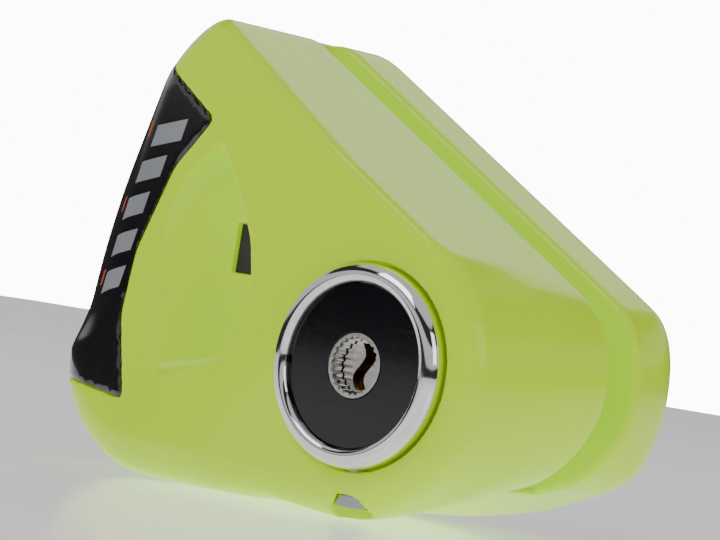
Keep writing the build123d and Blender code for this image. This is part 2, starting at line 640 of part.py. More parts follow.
def circuit_board():
    """Alarm board with its larger components."""
    x, y, z = room_within(CASE_GAP + CASE_WALL)
    edge = BOARD_EDGE
    board = block((x[0] + CASE_WALL + edge, x[1] - 0.1), BOARD_Y, (z[0] + edge, z[1] - edge))
    for cx, cz, w, h, t in CHIPS:
        board += block((cx - w / 2, cx + w / 2), (BOARD_Y[0] - t, BOARD_Y[0] + 0.1), (cz - h / 2, cz + h / 2))
    return board


def battery():
    """Cylindrical lithium cell, standing up, with its raised pole at the bottom."""
    x, y = BATTERY_AT
    cell = rod_z(BATTERY_R, BATTERY_Z[0], BATTERY_Z[1], x, y)
    cell = chamfer(cell.edges(), 0.5)
    return cell + rod_z(CELL_CAP_R, BATTERY_Z[0] - CELL_CAP_T, BATTERY_Z[0] + 0.1, x, y)


def contact_plate():
    """Flat contact under the cell."""
    x, y = BATTERY_AT
    top = BATTERY_Z[0] - CELL_CAP_T
    return block((x - 4.0, x + 4.0), (y - 5.0, y + 5.0), (top - CONTACT_T, top))


def contact_spring():
    """Coil contact above the cell."""
    x, y = BATTERY_AT
    top = ROOM_Z[1] - CASE_GAP - CASE_WALL
    rise = top - BATTERY_Z[1] - CONTACT_WIRE - 0.1
    coil = Helix(pitch=rise / CONTACT_TURNS, height=rise, radius=CONTACT_SPRING_R)
    section = Plane(origin=coil @ 0, z_dir=coil % 0) * Circle(CONTACT_WIRE / 2)
    wire = sweep(section, path=coil, is_frenet=True)
    return Pos(x, y, BATTERY_Z[1] + CONTACT_WIRE / 2 + 0.05) * wire


def piezo_sounder():
    """Piezo siren disc in front of the board."""
    y = ROOM_Y[0] + CASE_GAP + CASE_WALL
    disc = rod_y(PIEZO_R, y, y + PIEZO_T, BATTERY_AT[0], PIEZO_Z)
    return disc - rod_y(1.2, y - 1, y + 1.5, BATTERY_AT[0], PIEZO_Z)


def shock_sensor():
    """Motion sensor can on the board."""
    return rod_z(SENSOR_R, SENSOR_Z[0], SENSOR_Z[1], SENSOR_X, BOARD_Y[0] - SENSOR_R - FIT_GAP)


def switch_body():
    """Switch that the plunger's side works through the button."""
    return chamfer(block(SWITCH_X, SWITCH_Y, SWITCH_Z).edges(), 0.4)


def switch_button():
    """Button between the switch and the plunger."""
    tip = -(PLUNGER_R + BUTTON_GAP)
    return rod_x(BUTTON_R, SWITCH_X[1] + 0.1, tip, BUTTON_Y, BUTTON_Z)


def port_insert():
    """Dark insert in the recess's port."""
    x, z = PORT_AT
    w, h = PORT_SIZE
    deep = RECESS_FLOOR_Y + PORT_DEPTH
    return block((x - w / 2 + FIT_GAP, x + w / 2 - FIT_GAP), (RECESS_FLOOR_Y + INSERT_SHY, deep),
                 (z - h / 2 + FIT_GAP, z + h / 2 - FIT_GAP))


def build():
    """Every piece of the lock, by node name."""
    shell = envelope()
    inner = cover_seat(COVER_T)
    core = cover_seat(COVER_T + GASKET_T)
    seal = gasket(inner, core)
    spacer_start = DISC_START + DISC_T
    pitch = DISC_T + SPACER_T
    return {
        "body_casting": body_casting(shell, inner) - seal,
        "side_cover": side_cover(shell, inner),
        "cover_gasket": seal,
        "port_insert": port_insert(),
        "near_bush": bush(BORE_END_Y + 0.1, -SLOT_H - BUSH_INSET),
        "far_bush": far_bush(),
        "wiper_ring": wiper_ring(),
        "guide_screw": guide_screw(),
        "plunger_spring": plunger_spring(),
        "alarm_case": alarm_case(),
        "case_lid": case_lid(),
        "circuit_board": circuit_board(),
        "piezo_sounder": piezo_sounder(),
        "shock_sensor": shock_sensor(),
        "battery": battery(),
        "contact_plate": contact_plate(),
        "contact_spring": contact_spring(),
        "switch_body": switch_body(),
        "switch_button": switch_button(),
        "plunger_barrel": plunger_barrel(),
        "bezel_ring": bezel_ring(),
        "face_plate": face_plate(),
        "keyhole_sleeve": keyhole_sleeve(),
        "locking_pin": locking_pin(),
        "plug_cage": plug_cage(),
        "front_disc": front_disc(),
        "detainer_discs": disc_stack(DISC_START, DISC_T, pitch, DISC_COUNT, 1.0),
        "disc_spacers": disc_stack(spacer_start, SPACER_T, pitch, DISC_COUNT - 1, 1.5),
        "sidebar": sidebar(),
        "drive_cam": drive_cam(),
        "latch_dog_right": latch_dog(1),
        "latch_dog_left": latch_dog(-1),
    }


if __name__ == "__main__":
    os.makedirs("parts", exist_ok=True)
    for name, shape in build().items():
        shape.label = name
        export_step(shape, f"parts/{name}.step")
        print(name, round(shape.volume, 1))
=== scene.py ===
"""Looks of a push-down disc brake lock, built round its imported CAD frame."""

import logging
import math
from collections.abc import Callable
from dataclasses import dataclass
from enum import Enum

import bpy
import numpy as np
from mathutils import Matrix, Vector


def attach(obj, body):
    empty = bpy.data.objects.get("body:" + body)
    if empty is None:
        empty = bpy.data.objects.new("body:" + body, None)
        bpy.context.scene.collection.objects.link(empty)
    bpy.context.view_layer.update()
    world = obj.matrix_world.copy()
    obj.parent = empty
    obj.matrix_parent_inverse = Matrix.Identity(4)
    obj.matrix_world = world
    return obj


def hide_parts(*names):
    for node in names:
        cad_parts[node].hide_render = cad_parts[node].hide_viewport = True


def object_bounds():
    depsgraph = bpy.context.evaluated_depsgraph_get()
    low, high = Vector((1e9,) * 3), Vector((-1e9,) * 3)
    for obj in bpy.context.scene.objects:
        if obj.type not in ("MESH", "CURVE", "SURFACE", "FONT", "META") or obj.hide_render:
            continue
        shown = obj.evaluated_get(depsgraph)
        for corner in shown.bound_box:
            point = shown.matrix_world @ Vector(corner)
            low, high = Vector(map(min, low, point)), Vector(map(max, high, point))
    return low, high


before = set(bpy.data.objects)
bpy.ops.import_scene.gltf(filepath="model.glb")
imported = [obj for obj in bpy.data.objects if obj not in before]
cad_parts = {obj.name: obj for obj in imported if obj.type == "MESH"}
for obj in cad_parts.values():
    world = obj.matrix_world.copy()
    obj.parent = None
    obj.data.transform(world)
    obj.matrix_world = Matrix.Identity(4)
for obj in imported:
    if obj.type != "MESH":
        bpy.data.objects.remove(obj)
CAD_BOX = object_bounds()

LOG = logging.getLogger("disc_lock")
MM = 0.001
Array = np.ndarray
Field = Callable[[np.ndarray], np.ndarray]


class Body(Enum):
    """Rigid bodies of the lock that pieces ride on."""

    HOUSING = "housing"
    PLUNGER = "plunger"
    PLUG = "plug"


# ---------------------------------------------------------------- field helpers

def round_cut(a: Array, b: Array, radius: Array | float) -> Array:
    """Intersection of two signed distance fields whose shared edge is a round.

    Both fields are pushed in by the radius; outside the corner the distance to the round is the
    length of the two positive parts, and inside it is the larger field.

    Args:
        a: First field, negative inside.
        b: Second field, negative inside.
        radius: Radius of the round, one value or one per point.

    Returns:
        The combined field.
    """
    u = np.maximum(a + radius, 0.0)
    v = np.maximum(b + radius, 0.0)
    return np.minimum(np.maximum(a, b), -radius) + np.hypot(u, v)


def soft_join(a: Array, b: Array, width: float) -> Array:
    """Union of two fields with a fillet: the smaller one, less a parabola where they are close."""
    h = np.clip(0.5 + 0.5 * (b - a) / width, 0.0, 1.0)
    return b * (1.0 - h) + a * h - width * h * (1.0 - h)


def ramp(value: Array, low: float, high: float) -> Array:
    """Smooth step from 0 at low to 1 at high: 3t squared less 2t cubed."""
    t = np.clip((value - low) / (high - low), 0.0, 1.0)
    return t * t * (3.0 - 2.0 * t)


def polygon_distance(x: Array, z: Array, corners: Array) -> Array:
    """Signed distance from points to a closed polygon, negative inside.

    The size is the least distance to any side, each found by projecting the point on the side and
    keeping the foot between its ends; the sign flips at each side that a ray to +X crosses.

    Args:
        x: Point abscissae.
        z: Point ordinates.
        corners: Corners in order, one row each.

    Returns:
        One distance per point.
    """
    best = np.full(x.shape, np.inf)
    inside = np.zeros(x.shape, bool)
    for (ax, az), (bx, bz) in zip(corners, np.roll(corners, -1, axis=0)):
        ex, ez = bx - ax, bz - az
        px, pz = x - ax, z - az
        t = np.clip((px * ex + pz * ez) / (ex * ex + ez * ez), 0.0, 1.0)
        best = np.minimum(best, (px - t * ex) ** 2 + (pz - t * ez) ** 2)
        if az != bz:
            inside ^= ((az > z) != (bz > z)) & (x < ex * (z - az) / ez + ax)
    return np.where(inside, -1.0, 1.0) * np.sqrt(best)


def arc_through(a: tuple, b: tuple, c: tuple, steps: int) -> Array:
    """Points on the circle through three points, from the first to the last.

    The centre is where the perpendicular bisectors meet; the angle runs evenly from the first
    point to the last on the side of the middle one.

    Args:
        a: First point.
        b: A point between.
        c: Last point.
        steps: Number of spans.

    Returns:
        Points without the last one, one row each.
    """
    (ax, ay), (bx, by), (cx, cy) = a, b, c
    d = 2.0 * (ax * (by - cy) + bx * (cy - ay) + cx * (ay - by))
    sa, sb, sc = ax * ax + ay * ay, bx * bx + by * by, cx * cx + cy * cy
    ux = (sa * (by - cy) + sb * (cy - ay) + sc * (ay - by)) / d
    uy = (sa * (cx - bx) + sb * (ax - cx) + sc * (bx - ax)) / d
    t0 = math.atan2(ay - uy, ax - ux)
    t1 = math.atan2(by - uy, bx - ux)
    t2 = math.atan2(cy - uy, cx - ux)
    turn = (t2 - t0) % (2 * math.pi)
    if (t1 - t0) % (2 * math.pi) > turn:
        turn -= 2 * math.pi
    angle = t0 + turn * np.arange(steps) / steps
    radius = math.hypot(ax - ux, ay - uy)
    return np.stack([ux + radius * np.cos(angle), uy + radius * np.sin(angle)], 1)


def gradient(shape: Field, points: Array, step: float = 0.02) -> Array:
    """Central differences of a field along each axis.

    Args:
        shape: Field of points in millimetres.
        points: Where the slope is wanted.
        step: Half the distance between the two readings.

    Returns:
        Slope, one row per point.
    """
    rows = []
    for axis in range(3):
        shift = np.zeros(3)
        shift[axis] = step
        rows.append((shape(points + shift) - shape(points - shift)) / (2 * step))
    return np.stack(rows, 1)


def settle(shape: Field, points: Array, level: float = 0.0, rounds: int = 3) -> Array:
    """Move points on to a level of a field: each Newton step goes down the slope by value over slope.

    Args:
        shape: Field of points in millimetres.
        points: Points near the level.
        level: Value that the points end on.
        rounds: Number of steps.

    Returns:
        Moved points.
    """
    for _ in range(rounds):
        slope = gradient(shape, points)
        square = np.maximum((slope * slope).sum(1, keepdims=True), 0.05)
        miss = np.clip(shape(points) - level, -0.5, 0.5)[:, None]
        points = points - miss * slope / square
    return points


def skin_of(shape: Field, low: Array, high: Array, cell: float) -> tuple[Array, Array]:
    """Closed quad surface where a field is zero.

    The field is sampled on a grid. Each cell that the surface crosses gets one point, the mean of
    the crossings on its edges, and each grid edge that is crossed gets the quad of its four cells.

    Args:
        shape: Field of points in millimetres, negative inside.
        low: Lowest corner of the grid.
        high: Highest corner of the grid.
        cell: Grid spacing.

    Returns:
        Points and quads.
    """
    axes = [np.arange(l, h + cell, cell) for l, h in zip(low, high)]
    count = [len(a) for a in axes]
    grid = np.stack(np.meshgrid(*axes, indexing="ij"), -1)
    value = np.concatenate([shape(slab.reshape(-1, 3)).reshape(slab.shape[:-1])[None] for slab in grid])
    cells = tuple(n - 1 for n in count)
    total = np.zeros(cells + (3,))
    hits = np.zeros(cells)
    crossings = []
    for axis in range(3):
        a = np.take(value, range(count[axis] - 1), axis)
        b = np.take(value, range(1, count[axis]), axis)
        cross = (a < 0) != (b < 0)
        t = np.where(cross, a / np.where(cross, a - b, 1.0), 0.0)
        start = np.take(grid, range(count[axis] - 1), axis)
        point = start + t[..., None] * np.eye(3)[axis] * cell
        others = [k for k in range(3) if k != axis]
        for i in (0, 1):
            for j in (0, 1):
                window = [slice(None)] * 3
                window[others[0]] = slice(i, i + cells[others[0]])
                window[others[1]] = slice(j, j + cells[others[1]])
                part = cross[tuple(window)]
                total += np.where(part[..., None], point[tuple(window)], 0.0)
                hits += part
        crossings.append((axis, others, np.argwhere(cross), a[cross] < 0))
    used = hits > 0
    index = np.full(cells, -1)
    index[used] = np.arange(used.sum())
    points = total[used] / hits[used][:, None]
    quads = []
    for axis, (p, q), where, inside in crossings:
        ok = (where[:, p] > 0) & (where[:, q] > 0) & (where[:, p] < cells[p]) & (where[:, q] < cells[q])
        base, inside = where[ok], inside[ok]
        ring = []
        for dp, dq in ((-1, -1), (0, -1), (0, 0), (-1, 0)):
            at = base.copy()
            at[:, p] += dp
            at[:, q] += dq
            ring.append(index[at[:, 0], at[:, 1], at[:, 2]])
        quad = np.stack(ring, 1)
        flip = inside if axis != 1 else ~inside
        quad[~flip] = quad[~flip][:, ::-1]
        quads.append(quad)
    return points, np.concatenate(quads)


# ---------------------------------------------------------------- meshes

def put_mesh(name: str, points: Array, faces: Array | list, crease: float = 30.0) -> bpy.types.Object:
    """Make an object at the origin from points in millimetres, facing outwards.

    The signed volume, a sixth of the sum of each corner triple's box product, tells which way the
    faces point, and a negative one turns them all.

    Args:
        name: Name of the piece.
        points: Points in millimetres, one row each.
        faces: Corner numbers of each face.
        crease: Degrees between two faces from which their edge is sharp.

    Returns:
        The new object.
    """
    rows = [list(map(int, face)) for face in faces]
    quads = np.array([[f[0], f[1], f[2], f[3] if len(f) > 3 else f[2]] for f in rows])
    a, b, c, d = (points[quads[:, k]] for k in range(4))
    volume = (a * np.cross(b, c)).sum() + (a * np.cross(c, d)).sum()
    if volume < 0:
        rows = [row[::-1] for row in rows]
    mesh = bpy.data.meshes.new(name)
    mesh.from_pydata((points * MM).tolist(), [], rows)
    mesh.shade_smooth()
    mesh.set_sharp_from_angle(angle=math.radians(crease))
    piece = bpy.data.objects.new(name, mesh)
    bpy.context.scene.collection.objects.link(piece)
    LOG.info("%s: %d faces", name, len(rows))
    return piece


def turned(profile: Array, steps: int, ribs: int = 0, rib_depth: float = 0.0,
           ribbed: Array | None = None) -> tuple[Array, Array]:
    """Closed ring turned from a closed profile about the Y axis.

    A point is (r cos t, y, r sin t). On the marked profile points the radius gains a cosine of the
    angle, which cuts ribs along the wall.

    Args:
        profile: Closed profile of radius and depth, one row each.
        steps: Number of spans round the axis.
        ribs: Number of ribs.
        rib_depth: Depth of a rib.
        ribbed: Which profile points carry the ribs.

    Returns:
        Points and quads.
    """
    angle = 2 * math.pi * np.arange(steps) / steps
    wave = np.zeros(len(profile)) if ribbed is None else ribbed.astype(float)
    radius = profile[None, :, 0] + rib_depth * 0.5 * (1 + np.cos(ribs * angle))[:, None] * wave[None]
    depth = np.broadcast_to(profile[None, :, 1], radius.shape)
    points = np.stack([radius * np.cos(angle)[:, None], depth, radius * np.sin(angle)[:, None]], -1)
    count = len(profile)
    i, j = np.meshgrid(np.arange(steps), np.arange(count), indexing="ij")
    i2, j2 = (i + 1) % steps, (j + 1) % count
    quads = np.stack([i * count + j, i2 * count + j, i2 * count + j2, i * count + j2], -1)
    return points.reshape(-1, 3), quads.reshape(-1, 4)


def slab(top: Array, bottom: Array) -> tuple[Array, Array]:
    """Closed thin slab between two grids of the same shape, joined along their four borders.

    Args:
        top: Grid of points of the outer face.
        bottom: Grid of points of the inner face.

    Returns:
        Points and quads.
    """
    rows, columns = top.shape[:2]
    index = np.arange(rows * columns).reshape(rows, columns)
    under = index + rows * columns
    face = np.stack([index[:-1, :-1], index[1:, :-1], index[1:, 1:], index[:-1, 1:]], -1).reshape(-1, 4)
    back = np.stack([under[:-1, :-1], under[:-1, 1:], under[1:, 1:], under[1:, :-1]], -1).reshape(-1, 4)
    loop = np.concatenate([index[:-1, 0], index[-1, :-1], index[:0:-1, -1], index[0, :0:-1]])
    low = loop + rows * columns
    wall = np.stack([loop, low, np.roll(low, -1), np.roll(loop, -1)], -1)[:, ::-1]
    return np.concatenate([top.reshape(-1, 3), bottom.reshape(-1, 3)]), np.concatenate([face, back, wall])


# ---------------------------------------------------------------- finishes

class Grain(Enum):
    """How the fine pattern of a finish runs."""

    EVEN = (1.0, 1.0, 1.0)
    TURNED = (1.0, 14.0, 1.0)
    BRUSHED = (16.0, 1.0, 1.0)


@dataclass(frozen=True)
class Finish:
    """One procedural finish: two colours mixed by a noise, uneven roughness, fine relief and an emission, which
    on the body paint is a painted glow.
    """

    name: str
    slot: str
    light: tuple
    dark: tuple
    metallic: float
    rough: tuple
    grain: float = 900.0
    relief: float = 0.05
    coat: float = 0.0
    glow: float = 0.0
    run: Grain = Grain.EVEN
    scratched: float = 0.0
    specular: float = 0.5
    lit: tuple = ()

    def build(self) -> bpy.types.Material:
        """Make the material: noise to colour, a finer noise to roughness and bump, and thin marks."""
        material = bpy.data.materials.new(self.name)
        material.use_nodes = True
        nodes, links = material.node_tree.nodes, material.node_tree.links
        shader = nodes["Principled BSDF"]
        shader.inputs["Metallic"].default_value = self.metallic
        shader.inputs["Coat Weight"].default_value = self.coat
        shader.inputs["Coat Roughness"].default_value = 0.03
        shader.inputs["Specular IOR Level"].default_value = self.specular
        # Emission in the lit colour: a painted glow on the body paint; on the studio floor it keeps the floor
        # evenly bright.
        shader.inputs["Emission Color"].default_value = (*(self.lit or self.light), 1.0)
        shader.inputs["Emission Strength"].default_value = self.glow
        place = nodes.new("ShaderNodeTexCoord")
        mapping = nodes.new("ShaderNodeMapping")
        mapping.inputs["Scale"].default_value = self.run.value
        links.new(place.outputs["Object"], mapping.inputs["Vector"])
        broad = nodes.new("ShaderNodeTexNoise")
        broad.inputs["Scale"].default_value = self.grain / 12
        broad.inputs["Detail"].default_value = 5.0
        fine = nodes.new("ShaderNodeTexNoise")
        fine.inputs["Scale"].default_value = self.grain
        fine.inputs["Detail"].default_value = 3.0
        for noise in (broad, fine):
            links.new(mapping.outputs["Vector"], noise.inputs["Vector"])
        colours = nodes.new("ShaderNodeValToRGB")
        colours.color_ramp.elements[0].position = 0.3
        colours.color_ramp.elements[0].color = (*self.dark, 1.0)
        colours.color_ramp.elements[1].position = 0.65
        colours.color_ramp.elements[1].color = (*self.light, 1.0)
        links.new(broad.outputs["Fac"], colours.inputs["Fac"])
        links.new(colours.outputs["Color"], shader.inputs["Base Color"])
        rough = nodes.new("ShaderNodeMapRange")
        rough.inputs["To Min"].default_value, rough.inputs["To Max"].default_value = self.rough
        links.new(fine.outputs["Fac"], rough.inputs["Value"])
        value = rough.outputs["Result"]
        if self.scratched:
            value = self.mark(nodes, links, place, value)
        links.new(value, shader.inputs["Roughness"])
        bump = nodes.new("ShaderNodeBump")
        bump.inputs["Strength"].default_value = self.relief
        bump.inputs["Distance"].default_value = 0.0002
        links.new(fine.outputs["Fac"], bump.inputs["Height"])
        links.new(bump.outputs["Normal"], shader.inputs["Normal"])
        return material

    def mark(self, nodes: bpy.types.Nodes, links: bpy.types.NodeLinks, place: bpy.types.Node,
             value: bpy.types.NodeSocket) -> bpy.types.NodeSocket:
        """Add hairline marks: where a long thin noise is at its height, the roughness rises.

        Args:
            nodes: Nodes of the material.
            links: Links of the material.
            place: Source of the Object coordinates.
            value: Roughness without the marks.

        Returns:
            Roughness with the marks.
        """
        turn = nodes.new("ShaderNodeMapping")
        turn.inputs["Rotation"].default_value = (0.0, math.radians(38), 0.0)
        turn.inputs["Scale"].default_value = (60.0, 60.0, 1800.0)
        thin = nodes.new("ShaderNodeTexNoise")
        thin.inputs["Scale"].default_value = 1.0
        level = nodes.new("ShaderNodeMapRange")
        level.inputs["From Min"].default_value = 0.68
        level.inputs["From Max"].default_value = 0.74
        level.inputs["To Max"].default_value = self.scratched
        total = nodes.new("ShaderNodeMath")
        total.operation = "ADD"
        links.new(place.outputs["Object"], turn.inputs["Vector"])
        links.new(turn.outputs["Vector"], thin.inputs["Vector"])
        links.new(thin.outputs["Fac"], level.inputs["Value"])
        links.new(level.outputs["Result"], total.inputs[0])
        links.new(value, total.inputs[1])
        return total.outputs["Value"]


# Body paint: its own fluorescent yellow-green colour, plus an emission (glow 0.24 in the lit colour) that is a
# painted glow, the same under any light.
PAINT = Finish("fluorescent_paint_painted_glow", "body_paint", (0.56, 0.86, 0.0), (0.52, 0.82, 0.0), 0.0,
               (0.24, 0.32), 500.0, 0.03, 0.25, 0.24, specular=0.2, lit=(0.66, 1.0, 0.0))
GLOSS = Finish("black_gloss", "black_gloss", (0.012, 0.012, 0.014), (0.006, 0.006, 0.008), 0.0, (0.1, 0.2),
               700.0, 0.03, 1.0)
GREY_PRINT = Finish("grey_print", "black_gloss", (0.34, 0.35, 0.38), (0.28, 0.29, 0.32), 0.0, (0.25, 0.4))
ORANGE_PRINT = Finish("orange_print", "black_gloss", (0.75, 0.07, 0.015), (0.6, 0.05, 0.01), 0.0, (0.25, 0.4))
CHROME = Finish("chrome", "chrome", (0.82, 0.83, 0.85), (0.74, 0.75, 0.78), 1.0, (0.03, 0.1), 1200.0, 0.01)
# Face plate: near-black and mirror-smooth, so it shows dark in any surroundings; the dark colour is a painted
# dark reflection, with real hairline scratches on top.
PAINTED_DARK_REFLECTION = Finish("dark_plate", "dark_plate", (0.006, 0.006, 0.009), (0.004, 0.004, 0.006), 0.0, (0.05, 0.1),
                1000.0, 0.01, 0.15, scratched=0.3)
STEEL = Finish("hard_steel", "hard_steel", (0.56, 0.57, 0.6), (0.42, 0.43, 0.46), 1.0, (0.16, 0.32),
               1000.0, 0.05, run=Grain.TURNED)
BRIGHT = Finish("nickel", "nickel", (0.72, 0.71, 0.68), (0.58, 0.57, 0.55), 1.0, (0.12, 0.26), 1400.0, 0.04)
SPRING = Finish("spring_steel", "spring_steel", (0.5, 0.5, 0.52), (0.34, 0.34, 0.36), 1.0, (0.2, 0.35))
BRASS = Finish("brass", "brass", (0.72, 0.5, 0.2), (0.55, 0.36, 0.13), 1.0, (0.18, 0.34), run=Grain.BRUSHED)
RUBBER = Finish("rubber", "rubber", (0.022, 0.022, 0.023), (0.013, 0.013, 0.014), 0.0, (0.65, 0.85),
                1600.0, 0.3)
PLASTIC = Finish("dark_plastic", "dark_plastic", (0.03, 0.03, 0.032), (0.018, 0.018, 0.02), 0.0,
                 (0.42, 0.58), 2400.0, 0.25)
BOARD = Finish("board_green", "board_green", (0.02, 0.16, 0.06), (0.012, 0.1, 0.035), 0.0, (0.3, 0.45),
               coat=0.4)
CELL = Finish("cell_wrap", "cell_wrap", (0.1, 0.16, 0.34), (0.07, 0.11, 0.26), 0.0, (0.28, 0.4), coat=0.5)

NODE_FINISHES = {
    PAINT: ("body_casting",),
    GLOSS: ("side_cover",),
    STEEL: ("plunger_barrel", "near_bush", "far_bush", "guide_screw", "latch_dog_right", "latch_dog_left",
            "sidebar", "drive_cam"),
    SPRING: ("plunger_spring", "contact_spring"),
    BRASS: ("plug_cage", "detainer_discs", "disc_spacers", "piezo_sounder"),
    BRIGHT: ("front_disc", "contact_plate", "shock_sensor"),
    RUBBER: ("cover_gasket", "wiper_ring"),
    PLASTIC: ("port_insert", "alarm_case", "case_lid", "switch_body", "switch_button"),
    BOARD: ("circuit_board",),
    CELL: ("battery",),
    CHROME: ("bezel_ring",),
    PAINTED_DARK_REFLECTION: ("face_plate",),
}


@dataclass
class Wardrobe:
    """Builds each finish once and puts it on pieces."""

    made: dict

    def dress(self, piece: bpy.types.Object, finish: Finish) -> None:
        """Put a finish in every material slot of a piece, or in a new one.

        Args:
            piece: Piece or CAD node.
            finish: Finish that it gets.
        """
        if finish.name not in self.made:
            self.made[finish.name] = finish.build()
        if not piece.material_slots:
            piece.data.materials.append(self.made[finish.name])
        for place in piece.material_slots:
            place.material = self.made[finish.name]

    def add(self, piece: bpy.types.Object, finish: Finish, body: Body, *nodes: str) -> None:
        """Dress a new piece, make it ride on a body and stand for the CAD nodes named.

        Args:
            piece: New piece.
            finish: Finish that it gets.
            body: Body that it rides on.
            nodes: CAD nodes that it stands for.
        """
        self.dress(piece, finish)
        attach(piece, body.value)
        if nodes:
            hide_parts(*nodes)


# ---------------------------------------------------------------- casting and cover

@dataclass
class SideTable:
    """Distance to a closed side-view polygon, kept on a fine grid and read between its points."""

    corners: Array
    low: float = -90.0
    high: float = 75.0
    pitch: float = 0.25

    def __post_init__(self) -> None:
        """Work out the distance at each grid point."""
        axis = np.arange(self.low, self.high, self.pitch)
        x, z = np.meshgrid(axis, axis, indexing="ij")
        self.value = polygon_distance(x, z, np.asarray(self.corners, float))

    def __call__(self, p: Array) -> Array:
        """Distance at points, weighted from the four grid points around each.

        Args:
            p: Points in millimetres.

        Returns:
            Distance, negative inside.
        """
        last = self.value.shape[0] - 2.001
        u = np.clip((p[:, 0] - self.low) / self.pitch, 0, last)
        v = np.clip((p[:, 2] - self.low) / self.pitch, 0, last)
        i, j = u.astype(int), v.astype(int)
        s, t = u - i, v - j
        g = self.value
        return ((g[i, j] * (1 - s) + g[i + 1, j] * s) * (1 - t)
                + (g[i, j + 1] * (1 - s) + g[i + 1, j + 1] * s) * t)


def tube(p: Array, radius: float, low: float, high: float) -> Array:
    """Rod along Y about the pin's axis, between two depths."""
    return np.maximum(np.hypot(p[:, 0], p[:, 2]) - radius, np.maximum(low - p[:, 1], p[:, 1] - high))


def box_field(p: Array, x: tuple, y: tuple, z: tuple, corner: float = 0.0) -> Array:
    """Box between pairs of limits with round corners: the length of what lies outside the core."""
    low, high = np.array([x[0], y[0], z[0]]), np.array([x[1], y[1], z[1]])
    away = np.abs(p - (low + high) / 2) - (high - low) / 2 + corner
    return np.linalg.norm(np.maximum(away, 0), axis=1) + np.minimum(away.max(1), 0) - corner


